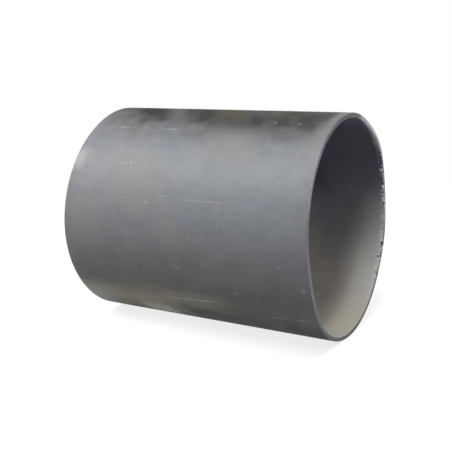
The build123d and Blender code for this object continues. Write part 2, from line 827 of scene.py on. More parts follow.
SPLASHES_AND_PAINTED_LIGHT = (
    # A dull film over the whole underside: partly soil, partly painted shade low down near the floor
    Patch(0.0, 159.0, 170.0, 52.0, SOIL_AND_UNDERSIDE_SHADE, 0.67, ragged=0.20, soft=0.50),
    # Dried mud along the lower side, lightened and warmed with painted light bounced up from the ground
    Patch(-80.0, 142.0, 58.0, 13.5, MUD_AND_BOUNCE_LIGHT, 0.98, ragged=0.22, soft=0.60),
    # Painted reflection of the pale ground at the lower edge near the far end
    Patch(-141.0, 144.0, 22.0, 12.0, PAINTED_GROUND_REFLECTION, 0.36, ragged=0.15, soft=0.80),
    Patch(-64.0, 125.0, 26.0, 6.0, MUD_AND_BOUNCE_LIGHT, 0.12, soft=0.80),
    Patch(82.0, 132.0, 28.0, 7.0, MUD_AND_BOUNCE_LIGHT, 0.12, soft=0.80),
    # Painted shade under the near end of the pipe, beside the floor
    Patch(138.0, 151.0, 26.0, 12.0, GRIME_DARK, 0.68, ragged=0.25, soft=0.70),
    # More soil and painted shade low on the near end
    Patch(122.0, 115.0, 22.0, 8.0, SOIL_AND_UNDERSIDE_SHADE, 0.25, soft=0.80),
    Patch(2.0, 130.0, 40.0, 6.5, MUD_AND_BOUNCE_LIGHT, 0.48, ragged=0.40, soft=0.70),
    # Painted reflection of the pale ground: a bright spot at the lower edge
    Patch(-55.0, 157.0, 20.0, 14.5, PAINTED_GROUND_REFLECTION, 1.00, ragged=0.15, soft=0.45),
    Patch(-64.0, 66.0, 24.0, 14.0, WARM_DUST, 0.65, soft=0.70, dulls=0.1),
    Patch(-128.0, 90.0, 24.0, 10.0, WARM_DUST, 0.65, soft=0.70, dulls=0.1),
    Patch(-8.0, 90.0, 13.0, 7.0, WARM_DUST, 0.60, soft=0.70, dulls=0.1),
    Patch(-20.0, 117.0, 130.0, 8.0, WARM_DUST, 0.22, soft=0.70, dulls=0.1),
    Patch(45.0, 43.0, 28.0, 9.0, WARM_DUST, 0.50, soft=0.70, dulls=0.1),
    Patch(62.0, 232.0, 48.0, 8.0, MUD_AND_BOUNCE_LIGHT, 0.35, ragged=0.60, soft=0.60),
    Patch(-36.0, 266.0, 44.0, 16.0, WARM_DUST, 0.60, soft=0.70, dulls=0.1),
    # Painted highlight: a soft bright spot on the sheen near the far end
    Patch(-146.0, 56.0, 9.0, 5.0, CHALK_AND_HIGHLIGHT, 0.50, ragged=0.10, soft=0.90, dulls=0.3),
    # Darker along the far end's edge, on the side that faces the camera
    Patch(-150.0, 87.0, 8.0, 22.0, GRIME_DARK, 0.12, soft=0.80, dulls=0.1),
    Patch(88.0, 41.0, 10.0, 5.0, GRIME_DARK, 0.10, soft=0.80, dulls=0.1),
    Patch(142.0, 35.0, 8.0, 8.0, WARM_DUST, 0.45, soft=0.80, dulls=0.1),
    Patch(38.0, 301.0, 16.0, 3.0, CHALK_AND_HIGHLIGHT, 0.25, soft=0.70, dulls=0.3),
)
DRAG_MARKS = (
    Scratch((-114.0, 33.0), (-98.0, 33.0), 1.1, 0.42),
    Scratch((-50.0, 33.0), (-32.0, 33.2), 1.1, 0.42),
    Scratch((-84.0, 57.6), (-80.5, 57.7), 1.2, 0.45),
    Scratch((-78.0, 57.0), (-75.5, 57.3), 1.1, 0.40),
    Scratch((-71.0, 56.0), (-69.0, 57.6), 1.2, 0.50),
    Scratch((-72.0, 75.0), (-67.0, 75.4), 0.9, 0.50),
    Scratch((-40.0, 76.2), (-38.5, 77.6), 1.1, 0.80),
    Scratch((10.0, 74.0), (60.0, 73.6), 0.8, 0.35),
    Scratch((-24.0, 73.0), (-10.0, 73.0), 0.7, 0.30),
    Scratch((-10.0, 107.6), (5.0, 108.6), 0.9, 0.45),
    Scratch((-57.0, 112.0), (-55.4, 114.0), 1.0, 0.65),
    Scratch((-53.5, 111.0), (-52.5, 113.0), 1.4, 0.60, ScratchTone.DARK),
    Scratch((-39.0, 130.6), (33.0, 128.2), 1.7, 0.60, broken=0.3),
    Scratch((-10.0, 129.5), (33.0, 128.2), 1.6, 0.90, broken=0.15),
    Scratch((81.0, 23.4), (84.0, 24.6), 1.6, 0.40),
    Scratch((110.0, 24.0), (113.5, 24.6), 1.6, 0.35),
    Scratch((87.0, 134.0), (146.0, 131.0), 1.0, 0.60, broken=0.7),
    Scratch((144.6, 110.6), (146.0, 112.2), 1.6, 0.55, broken=0.0),
    Scratch((-130.0, 137.0), (-90.0, 137.4), 1.0, 0.50),
    Scratch((112.0, 62.0), (119.0, 62.3), 0.8, 0.30),
    Scratch((64.0, 118.0), (69.0, 119.4), 0.9, 0.45),
    Scratch((118.0, 101.0), (124.0, 100.6), 0.8, 0.45),
    Scratch((-96.0, 246.0), (-22.0, 251.0), 0.9, 0.45),
    Scratch((30.0, 283.0), (86.0, 280.0), 0.8, 0.40),
    Scratch((-20.0, 318.0), (14.0, 319.0), 0.9, 0.40),
    Scratch((70.0, 338.0), (118.0, 341.0), 0.9, 0.40),
)


@dataclass(frozen=True)
class ExtrudedSkin:
    """The outer skin: satin grey, with grime and painted shade on the crown, dried splashes, painted shade,
    bounce light and reflections low down, a painted highlight and drag marks.
    """

    cool_grey: Colour = (0.170, 0.182, 0.205, 1.0)
    warm_grey: Colour = (0.202, 0.208, 0.214, 1.0)
    cloud_size: float = 70.0 * MILLIMETRE
    streak_share: float = 0.4
    streak_dulling: float = 0.12
    blotch: Colour = (0.128, 0.134, 0.148, 1.0)
    blotch_size: float = 13.0 * MILLIMETRE
    blotch_share: float = 0.30
    nick_length: float = 2.6 * MILLIMETRE
    nick_width: float = 2.2 * MILLIMETRE
    nick_share: float = 0.0015
    nick_strength: float = 0.4
    roughness: float = 0.46
    grimy_roughness: float = 0.95
    specular: float = 0.32
    draw_depth: float = 0.02 * MILLIMETRE
    grain_size: float = 1.2 * MILLIMETRE
    grain_depth: float = 0.015 * MILLIMETRE
    scratch_depth: float = 0.06 * MILLIMETRE
    marks: tuple[Patch, ...] = CROWN_GRIME_AND_SHADE + SPLASHES_AND_PAINTED_LIGHT
    scratches: tuple[Scratch, ...] = DRAG_MARKS

    def material(self, effects: WeatherEffects) -> bpy.types.Material:
        """Makes the finish.

        Args:
            effects: The shared groups.

        Returns:
            The material.
        """
        tree = FinishTree("extruded_skin", effects, self.specular)
        clouds = tree.fade(tree.noise(tree.place, self.cloud_size, detail=6.0, seed=1.0), *SOFT_RANGE)
        lines = tree.effect(effects.draw_lines, {"Place": tree.place})["Lines"]
        streaks = tree.fade(lines, *EVEN_RANGE)
        blotches = tree.fade(tree.noise(tree.place, self.blotch_size, seed=7.0), *EVEN_RANGE)
        tint = tree.weigh(clouds, streaks, self.streak_share)
        colour = tree.mix(tint, self.cool_grey, self.warm_grey)
        colour = tree.mix(tree.math("MULTIPLY", blotches, self.blotch_share), colour, self.blotch)
        nicks = tree.effect(
            effects.nicks,
            {
                "Flat": tree.flat,
                "Length": self.nick_length,
                "Width": self.nick_width,
                "Share": self.nick_share,
            },
        )["Mask"]
        nicked = tree.math("MULTIPLY", nicks, self.nick_strength)
        colour = tree.mix(nicked, colour, ScratchTone.PALE.value)
        grime = nicks
        for patch in self.marks:
            mask = tree.patch(patch)
            colour = tree.mix(mask, colour, patch.colour)
            grime = tree.math("MAXIMUM", grime, tree.math("MULTIPLY", mask, patch.dulls))
        cut = nicks
        for scratch in self.scratches:
            mask = tree.scratch(scratch)
            colour = tree.mix(mask, colour, scratch.tone.value)
            cut = tree.math("MAXIMUM", cut, mask)
        dulled = tree.math("MULTIPLY_ADD", streaks, self.streak_dulling, grime)
        roughness = tree.between(dulled, self.roughness, self.grimy_roughness)
        grain = tree.noise(tree.place, self.grain_size, detail=3.0, seed=4.0)
        height = tree.math("MULTIPLY", lines, self.draw_depth)
        height = tree.math("MULTIPLY_ADD", grain, self.grain_depth, height)
        height = tree.math("MULTIPLY_ADD", cut, -self.scratch_depth, height)
        return tree.wear(colour, roughness, height)


SAWN_WHITE = (0.720, 0.715, 0.720, 1.0)
SAWN_BRIGHT = (0.950, 0.945, 0.950, 1.0)
SAWN_STAIN = (0.150, 0.146, 0.152, 1.0)
SAWN_WARM = (0.390, 0.366, 0.348, 1.0)

SAWN_MARKS = (
    Patch(150.0, 14.0, 20.0, 22.0, SAWN_STAIN, 0.45, ragged=0.5, soft=0.6),
    Patch(150.0, 62.0, 20.0, 15.0, SAWN_WHITE, 0.40, ragged=0.3, soft=0.7),
    Patch(150.0, 84.0, 20.0, 8.0, SAWN_STAIN, 0.30, ragged=0.3, soft=0.7),
    Patch(150.0, 108.0, 20.0, 22.0, SAWN_WARM, 0.80, ragged=0.3, soft=0.6),
    Patch(150.0, 205.0, 20.0, 28.0, SAWN_STAIN, 0.40, ragged=0.3, soft=0.5),
    Patch(150.0, 254.0, 20.0, 8.0, SAWN_STAIN, 0.45, ragged=0.4, soft=0.6),
    Patch(150.0, 276.0, 20.0, 11.0, SAWN_BRIGHT, 0.80, ragged=0.5, soft=0.5, speckled=True),
    Patch(150.0, 300.0, 20.0, 8.0, SAWN_STAIN, 0.60, ragged=0.5, soft=0.5),
    Patch(150.0, 319.0, 20.0, 12.0, SAWN_BRIGHT, 0.75, ragged=0.3, soft=0.5, speckled=True),
    Patch(150.0, 334.0, 20.0, 12.0, SAWN_BRIGHT, 1.00, ragged=0.2, soft=0.4, speckled=True),
    Patch(-150.0, 60.0, 20.0, 24.0, SAWN_STAIN, 0.60, ragged=0.5, soft=0.6),
    Patch(-150.0, 120.0, 20.0, 20.0, SAWN_WHITE, 0.60, ragged=0.6, soft=0.5, speckled=True),
)


@dataclass(frozen=True)
class SawnFace:
    """The raw sawn end: chalky grey, scored by the saw, whitened along its bore and where it is torn."""

    grey: Colour = (0.262, 0.256, 0.276, 1.0)
    score_grey: Colour = (0.350, 0.343, 0.362, 1.0)
    score_range: tuple[float, float] = (0.40, 0.65)
    score_depth: float = 0.12 * MILLIMETRE
    marks: tuple[Patch, ...] = SAWN_MARKS
    roughness: float = 0.78
    roughness_swing: float = 0.1
    specular: float = 0.3
    edge_band: float = 1.3 * MILLIMETRE
    edge_end: float = 2.86 * MILLIMETRE
    edge_swing: float = 2.6 * MILLIMETRE
    edge_lump_size: float = 3.0 * MILLIMETRE
    speckle_size: float = 2.2 * MILLIMETRE
    speckle_range: tuple[float, float] = (0.44, 0.58)
    least_speckle: float = 0.5

    def material(self, effects: WeatherEffects) -> bpy.types.Material:
        """Makes the finish.

        Args:
            effects: The shared groups.

        Returns:
            The material.
        """
        tree = FinishTree("sawn_face", effects, self.specular)
        scores = tree.effect(effects.saw_scores, {"Place": tree.place})["Scores"]
        colour = tree.mix(tree.fade(scores, *self.score_range), self.grey, self.score_grey)
        from_bore = tree.math("SUBTRACT", tree.reach, effects.stock.bore_radius)
        lumps = tree.noise(tree.place, self.edge_lump_size, seed=8.0)
        ragged = tree.math("MULTIPLY_ADD", lumps, self.edge_swing, from_bore)
        edge = tree.fade(ragged, self.edge_band, self.edge_end, 1.0, 0.0)
        colour = tree.mix(edge, colour, SAWN_WHITE)
        speckles = tree.noise(tree.place, self.speckle_size, detail=2.0, seed=5.0)
        speckled = tree.fade(speckles, *self.speckle_range, self.least_speckle, 1.0)
        for patch in self.marks:
            mask = tree.patch(patch)
            if patch.speckled:
                mask = tree.math("MULTIPLY", mask, speckled)
            colour = tree.mix(mask, colour, patch.colour)
        colour = tree.torn_marks(colour, SAWN_WHITE, 1.0)
        roughness = tree.between(
            scores, self.roughness - self.roughness_swing, self.roughness + self.roughness_swing
        )
        return tree.wear(colour, roughness, tree.math("MULTIPLY", scores, self.score_depth))


BORE_SILT = (0.540, 0.488, 0.365, 1.0)
BORE_DUST = (0.522, 0.506, 0.452, 1.0)
BORE_FILM = (0.452, 0.424, 0.372, 1.0)
PAINTED_DEEP_LIGHT = (0.700, 0.605, 0.450, 1.0)
BORE_RUST_AND_SHADOW = (0.150, 0.115, 0.085, 1.0)
BORE_SHADE = (0.030, 0.033, 0.030, 1.0)
EDGE_PALE = (0.700, 0.710, 0.720, 1.0)

BORE_DIRT_AND_PAINTED_LIGHT = (
    Patch(20.0, 214.0, 72.0, 46.0, BORE_FILM, 0.75, ragged=0.15, soft=0.7),
    Patch(150.0, 208.0, 45.0, 54.0, BORE_DUST, 0.95, ragged=0.10, soft=0.75),
    Patch(-150.0, 195.0, 52.0, 58.0, BORE_DUST, 0.75, ragged=0.15, soft=0.75),
    Patch(0.0, 180.0, 170.0, 24.0, BORE_SILT, 0.65, ragged=0.25, soft=0.6),
    # Painted light deep in the bore, where light from the far mouth falls on the bottom
    Patch(40.0, 216.0, 46.0, 24.0, PAINTED_DEEP_LIGHT, 0.40, ragged=0.2, soft=0.7),
    # Painted shadow: a dark band on the bottom between the light from the near mouth and the light deeper
    # in
    Patch(104.0, 206.0, 13.0, 34.0, BORE_RUST_AND_SHADOW, 0.35, ragged=0.3, soft=0.8),
    Patch(-60.0, 186.0, 34.0, 20.0, BORE_RUST_AND_SHADOW, 0.35, ragged=0.4, soft=0.7),
    Patch(126.0, 328.0, 44.0, 27.0, BORE_SHADE, 0.30, ragged=0.2, soft=0.8),
    Patch(109.0, 255.0, 22.0, 11.0, BORE_SHADE, 0.18, ragged=0.2, soft=0.9),
    Patch(61.0, 290.0, 16.0, 12.0, BORE_SHADE, 0.40, ragged=0.2, soft=0.9),
    Patch(151.0, 328.0, 3.4, 16.0, EDGE_PALE, 0.80, ragged=0.3, soft=0.6),
    Patch(150.0, 270.0, 4.5, 11.0, EDGE_PALE, 0.30, ragged=0.4, soft=0.7),
    Patch(150.0, 238.0, 4.5, 20.0, EDGE_PALE, 0.45, ragged=0.3, soft=0.7),
)


@dataclass(frozen=True)
class DustyBore:
    """The inside: dark smooth plastic, with pale silt, dusty mouths, a scuffed near edge, and painted light
    and shade.
    """

    cool_grey: Colour = (0.150, 0.148, 0.212, 1.0)
    warm_grey: Colour = (0.172, 0.170, 0.224, 1.0)
    cloud_size: float = 60.0 * MILLIMETRE
    torn_white: Colour = (0.660, 0.655, 0.655, 1.0)
    torn_white_share: float = 0.7
    speck: Colour = (0.520, 0.500, 0.450, 1.0)
    speck_length: float = 2.4 * MILLIMETRE
    speck_width: float = 2.0 * MILLIMETRE
    speck_share: float = 0.006
    speck_strength: float = 0.6
    roughness: float = 0.55
    dusty_roughness: float = 0.92
    specular: float = 0.35
    draw_depth: float = 0.02 * MILLIMETRE
    # Dirt patches, with patches of painted light and shade among them
    dirt: tuple[Patch, ...] = BORE_DIRT_AND_PAINTED_LIGHT

    def material(self, effects: WeatherEffects) -> bpy.types.Material:
        """Makes the finish.

        Args:
            effects: The shared groups.

        Returns:
            The material.
        """
        tree = FinishTree("dusty_bore", effects, self.specular)
        clouds = tree.fade(tree.noise(tree.place, self.cloud_size, detail=5.0, seed=3.0), *SOFT_RANGE)
        colour = tree.mix(clouds, self.cool_grey, self.warm_grey)
        dust: object = 0.0
        for patch in self.dirt:
            mask = tree.patch(patch)
            colour = tree.mix(mask, colour, patch.colour)
            dust = tree.math("MAXIMUM", dust, mask)
        specks = tree.effect(
            effects.nicks,
            {
                "Flat": tree.flat,
                "Length": self.speck_length,
                "Width": self.speck_width,
                "Share": self.speck_share,
            },
        )["Mask"]
        specked = tree.math("MULTIPLY", specks, tree.math("MULTIPLY", dust, self.speck_strength))
        colour = tree.mix(specked, colour, self.speck)
        colour = tree.torn_marks(colour, self.torn_white, self.torn_white_share)
        lines = tree.effect(effects.draw_lines, {"Place": tree.place})["Lines"]
        roughness = tree.between(dust, self.roughness, self.dusty_roughness)
        return tree.wear(colour, roughness, tree.math("MULTIPLY", lines, self.draw_depth))


@dataclass(frozen=True)
class TornPlastic:
    """Flakes that the saw tore loose: stress-whitened plastic, greyer in places."""

    white: Colour = (0.900, 0.900, 0.880, 1.0)
    grey: Colour = (0.600, 0.600, 0.590, 1.0)
    grey_range: tuple[float, float] = (0.42, 0.60)
    cloud_size: float = 3.0 * MILLIMETRE
    roughness: float = 0.65
    roughness_swing: float = 0.15
    grain_depth: float = 0.05 * MILLIMETRE

    def material(self, effects: WeatherEffects) -> bpy.types.Material:
        """Makes the finish.

        Args:
            effects: The shared groups.

        Returns:
            The material.
        """
        tree = FinishTree("torn_plastic", effects)
        clouds = tree.noise(tree.place, self.cloud_size, seed=2.0)
        colour = tree.mix(tree.fade(clouds, *self.grey_range), self.white, self.grey)
        roughness = tree.between(
            clouds, self.roughness - self.roughness_swing, self.roughness + self.roughness_swing
        )
        return tree.wear(colour, roughness, tree.math("MULTIPLY", clouds, self.grain_depth))


def placed(name: str, data: bpy.types.ID) -> bpy.types.Object:
    """Makes an object of some data and puts it in the scene.

    Args:
        name: The object's name.
        data: Its mesh, curve, lamp or camera.

    Returns:
        The object, at the origin.
    """
    thing = bpy.data.objects.new(name, data)
    bpy.context.scene.collection.objects.link(thing)
    return thing


def grown(name: str, group: NodeGroup, values: dict[str, object]) -> bpy.types.Object:
    """Runs a geometry tree once and keeps its result as a plain mesh object.

    Args:
        name: The new object's name.
        group: The geometry tree.
        values: What its named inputs are set to.

    Returns:
        The object, at the origin, with no modifier.
    """
    carrier = placed(f"{name}_carrier", bpy.data.meshes.new(f"{name}_carrier"))
    modifier = carrier.modifiers.new("shape", "NODES")
    modifier.node_group = group.tree
    ports = group.tree.interface.items_tree
    identifiers = {port.name: port.identifier for port in ports if port.in_out == "INPUT"}
    for port, value in values.items():
        modifier[identifiers[port]] = value
    depsgraph = bpy.context.evaluated_depsgraph_get()
    evaluated = carrier.evaluated_get(depsgraph)
    mesh = bpy.data.meshes.new_from_object(evaluated, preserve_all_data_layers=True, depsgraph=depsgraph)
    carrier.modifiers.remove(modifier)
    bpy.data.objects.remove(carrier)
    mesh.name = name
    return placed(name, mesh)


def evenly(start: float, stop: float, steps: int) -> list[float]:
    """Divides a stretch evenly.

    Args:
        start: Where it starts.
        stop: Where it ends.
        steps: How many steps it has.

    Returns:
        The places after each step, so the start is left out.
    """
    return [start + (stop - start) * step / steps for step in range(1, steps + 1)]


def turn_from(group: NodeGroup, around: Socket, middle: float) -> Socket:
    """Measures how far a place is turned from an angle.

    Args:
        group: The geometry tree.
        around: The place's angle around the pipe.
        middle: The other angle, in degrees.

    Returns:
        The turn between them, from 0 to half a turn.
    """
    off = group.math("SUBTRACT", around, math.radians(middle))
    return group.math("ABSOLUTE", group.math("WRAP", off, math.pi, -math.pi))


def torn_share(
    group: NodeGroup, around: Socket, tears: list[tuple[Tear, float]], quiet: object
) -> Socket:
    """Adds the field that says how much the saw tore the bore's edge.

    Args:
        group: The geometry tree.
        around: The angle around the pipe.
        tears: The torn stretches, each with its amount.
        quiet: The amount between them, a socket or a number.

    Returns:
        The amount at each place.
    """
    share = quiet
    for tear, amount in tears:
        turn = turn_from(group, around, tear.around)
        half = math.radians(tear.half_turn)
        faded = group.fade(turn, TEAR_CORE * half, TEAR_END * half, amount, 0.0)
        share = group.math("MAXIMUM", share, faded)
    return share


def cut_run(group: NodeGroup, around: Socket, stretches: tuple[RunOff, ...]) -> Socket:
    """Adds the field that says how far a cut runs off square.

    Args:
        group: The geometry tree.
        around: The angle around the pipe.
        stretches: Where the cut runs off.

    Returns:
        How much longer the pipe is at each place.
    """
    longer: object = 0.0
    for stretch in stretches:
        turn = turn_from(group, around, stretch.around)
        half = math.radians(stretch.half_turn)
        longer = group.math("ADD", longer, group.fade(turn, 0.0, half, stretch.rise * MILLIMETRE, 0.0))
    return longer


@dataclass
class PipeWall:
    """The pipe's whole wall: skin, sawn faces and bore, swept from one closed section."""

    stock: PipeStock
    skin: bpy.types.Material
    bore: bpy.types.Material
    sawn: bpy.types.Material
    segments: int = 720
    skin_rows: int = 10
    round_rows: int = 4
    face_rows: int = 6
    lip_rows: int = 10
    bore_rows: int = 7
    lip: float = 7.0 * MILLIMETRE
    sawn_share: float = 0.6
    waviness: float = 0.2 * MILLIMETRE
    wave_size: float = 80.0 * MILLIMETRE
    chip_depth: float = 3.9 * MILLIMETRE
    chip_reach: float = 5.0 * MILLIMETRE
    chip_size: float = 5.5 * MILLIMETRE
    bite_range: tuple[float, float] = (0.44, 0.58)
    near_tears: tuple[Tear, ...] = NEAR_TEARS
    far_tears: tuple[Tear, ...] = FAR_TEARS
    quiet_share: float = 0.35
    near_run_off: tuple[RunOff, ...] = NEAR_RUN_OFF
    far_run_off: tuple[RunOff, ...] = FAR_RUN_OFF
    run_off_reach: float = 60.0 * MILLIMETRE
    seed: int = 7

    def near_half(self) -> list[tuple[float, float]]:
        """Lists the half of the section towards the near end.

        Returns:
            Points as (distance from the axis, axial place), from the skin's middle to the bore's middle.
        """
        stock = self.stock
        end = stock.length / 2
        skin_end = end - stock.outer_edge_break
        face_top = stock.outer_radius - stock.outer_edge_break
        face_foot = stock.bore_radius + stock.bore_edge_break
        lip_start = end - stock.bore_edge_break
        lip_end = lip_start - self.lip
        skin = [0.0, *evenly(0.0, skin_end, self.skin_rows)]
        outline = [(stock.outer_radius, axial) for axial in skin]
        for turn in evenly(0.0, math.pi / 2, self.round_rows):
            drop = stock.outer_edge_break * (1.0 - math.cos(turn))
            outline.append((stock.outer_radius - drop, skin_end + stock.outer_edge_break * math.sin(turn)))
        outline += [(reach, end) for reach in evenly(face_top, face_foot, self.face_rows)]
        lip = evenly(lip_start, lip_end, self.lip_rows)
        bore = [lip_start, *lip, *evenly(lip_end, 0.0, self.bore_rows)]
        outline += [(stock.bore_radius, axial) for axial in bore]
        return outline

    def section(self) -> bpy.types.Object:
        """Makes the closed section as a curve, with its distances counted from the sweep's path.

        Returns:
            The curve's object.
        """
        near = self.near_half()
        outline = near + [(reach, -axial) for reach, axial in reversed(near[1:-1])]
        data = bpy.data.curves.new("wall_section", "CURVE")
        data.dimensions = "2D"
        data.fill_mode = "NONE"
        spline = data.splines.new("POLY")
        spline.points.add(len(outline) - 1)
        for point, (reach, axial) in zip(spline.points, outline):
            point.co = (reach - self.stock.outer_radius, axial, 0.0, 1.0)
        spline.use_cyclic_u = True
        return placed("wall_section", data)

    def sweep(self) -> NodeGroup:
        """Makes the tree that sweeps the section round the axis, chips the bore's edges and waves the skin.

        Returns:
            The geometry tree.
        """
        numbers = ("Outer Radius", "Bore Radius", "Length", "Sawn Depth", "Waviness", "Wave Size")
        numbers += ("Chip Depth", "Chip Reach", "Chip Size", "Quiet Share", "Run Off Reach")
        ports = SocketKind.OBJECT.ports("Section") | SocketKind.COUNT.ports("Segments", "Seed")
        ports |= SocketKind.FLOAT.ports(*numbers)
        ports |= SocketKind.MATERIAL.ports("Skin", "Bore", "Sawn Face")
        group = NodeGroup("pipe_wall_sweep", GEOMETRY_TREE, ports, SocketKind.GEOMETRY.ports("Wall"))
        given = group.given

        # The plain wall, swept round a circle and laid on the floor along X
        section = group.node("GeometryNodeObjectInfo", {"Object": given["Section"]}).outputs["Geometry"]
        circle = {"Resolution": given["Segments"], "Radius": given["Outer Radius"]}
        path = group.first("GeometryNodeCurvePrimitiveCircle", circle, mode="RADIUS")
        swept = group.first("GeometryNodeCurveToMesh", {"Curve": path, "Profile Curve": section})
        laid = {
            "Geometry": swept,
            "Rotation": (0.0, -math.pi / 2, 0.0),
            "Translation": group.join(0.0, 0.0, given["Outer Radius"]),
        }
        wall = group.first("GeometryNodeTransform", laid)

        # Where each point of it is on the pipe
        position = group.first("GeometryNodeInputPosition")
        spot = group.from_axis(position, given["Outer Radius"])
        from_axis = group.join(0.0, spot.side, spot.rise)
        reach = group.vector("LENGTH", from_axis)
        half_length = group.math("MULTIPLY", given["Length"], 0.5)
        inset = group.math("SUBTRACT", half_length, group.math("ABSOLUTE", spot.axial))
        middle = group.math("MULTIPLY", group.math("ADD", given["Outer Radius"], given["Bore Radius"]), 0.5)

        # Each face's kind of surface, kept before anything moves
        inner = group.math("LESS_THAN", reach, middle)
        at_end = group.math("LESS_THAN", inset, given["Sawn Depth"])
        surface = group.math(
            "MAXIMUM",
            group.math("MULTIPLY", inner, float(Surface.BORE.value)),
            group.math("MULTIPLY", at_end, float(Surface.SAWN.value)),
        )
        numbered = {"Geometry": wall, "Name": SURFACE_ATTRIBUTE, "Value": surface}
        wall = group.first("GeometryNodeStoreNamedAttribute", numbered, data_type="INT", domain="FACE")

        # Chips along the bore's edges, crowded where the saw came out
        near = group.math("GREATER_THAN", spot.axial, 0.0)
        crowds = []
        for tears in (self.far_tears, self.near_tears):
            chips = [(tear, tear.chips) for tear in tears]
            crowds.append(torn_share(group, spot.around, chips, given["Quiet Share"]))
        crowd = group.between(near, *crowds)
        from_bore = group.math("SUBTRACT", reach, given["Bore Radius"])
        from_edge = group.vector("LENGTH", group.join(inset, from_bore, 0.0))
        lumps = group.noise(position, given["Chip Size"], detail=3.0, seed=given["Seed"])
        bite = group.fade(group.math("MULTIPLY", lumps, group.math("SQRT", crowd)), *self.bite_range)
        torn = group.math("MULTIPLY", bite, group.fade(from_edge, 0.0, given["Chip Reach"], 1.0, 0.0))
        chipped = {"Geometry": wall, "Name": TORN_ATTRIBUTE, "Value": torn}
        wall = group.first("GeometryNodeStoreNamedAttribute", chipped, data_type="FLOAT", domain="POINT")
        waves = group.noise(position, given["Wave Size"], detail=1.0, seed=given["Seed"])
        wave = group.math("MULTIPLY", group.math("SUBTRACT", waves, 0.5), given["Waviness"])
        normal = group.first("GeometryNodeInputNormal")
        outward = group.vector("NORMALIZE", from_axis)
        inward = group.join(group.math("MULTIPLY", group.math("SIGN", spot.axial), -1.0), 0.0, 0.0)
        into_wall = group.vector("NORMALIZE", group.vector("ADD", outward, inward))
        depth = group.math("MULTIPLY", torn, given["Chip Depth"])
        offset = group.vector("ADD", group.scaled(normal, wave), group.scaled(into_wall, depth))

        # The cuts, which run a little off square
        cuts = (self.far_run_off, self.near_run_off)
        runs = [cut_run(group, spot.around, stretches) for stretches in cuts]
        close_by = group.fade(inset, 0.0, given["Run Off Reach"], -1.0, 0.0)
        longer = group.math("MULTIPLY", group.between(near, *runs), close_by)
        offset = group.vector("ADD", offset, group.scaled(inward, longer))
        wall = group.first("GeometryNodeSetPosition", {"Geometry": wall, "Offset": offset})

        # The finished mesh, with a finish for each kind of surface
        wall = group.first("GeometryNodeSetShadeSmooth", {"Geometry": wall})
        wall = group.first("GeometryNodeRealizeInstances", {"Geometry": wall})
        kept = group.first("GeometryNodeInputNamedAttribute", {"Name": SURFACE_ATTRIBUTE}, data_type="INT")
        finishes = {"Skin": Surface.SKIN, "Bore": Surface.BORE, "Sawn Face": Surface.SAWN}
        for port, place in finishes.items():
            same = {"A_INT": kept, "B_INT": place.value}
            chosen = group.first("FunctionNodeCompare", same, data_type="INT", operation="EQUAL")
            finished = {"Geometry": wall, "Selection": chosen, "Material": given[port]}
            wall = group.first("GeometryNodeSetMaterial", finished)
        group.put_out("Wall", wall)
        return group

    def build(self) -> bpy.types.Object:
        """Sweeps the wall.

        Returns:
            The wall's object.
        """
        section = self.section()
        wall = grown(
            "pipe_wall",
            self.sweep(),
            {
                "Section": section,
                "Segments": self.segments,
                "Seed": self.seed,
                "Outer Radius": self.stock.outer_radius,
                "Bore Radius": self.stock.bore_radius,
                "Length": self.stock.length,
                "Sawn Depth": self.sawn_share * self.stock.outer_edge_break,
                "Waviness": self.waviness,
                "Wave Size": self.wave_size,
                "Chip Depth": self.chip_depth,
                "Chip Reach": self.chip_reach,
                "Chip Size": self.chip_size,
                "Quiet Share": self.quiet_share,
                "Run Off Reach": self.run_off_reach,
                "Skin": self.skin,
                "Bore": self.bore,
                "Sawn Face": self.sawn,
            },
        )
        bpy.data.objects.remove(section)
        return wall

    @staticmethod
    def dress(wall: bpy.types.Object) -> None:
        """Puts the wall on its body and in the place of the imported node.

        Args:
            wall: The wall's object.
        """
        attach(wall, PIPE_BODY)
        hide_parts(PIPE_NODE)


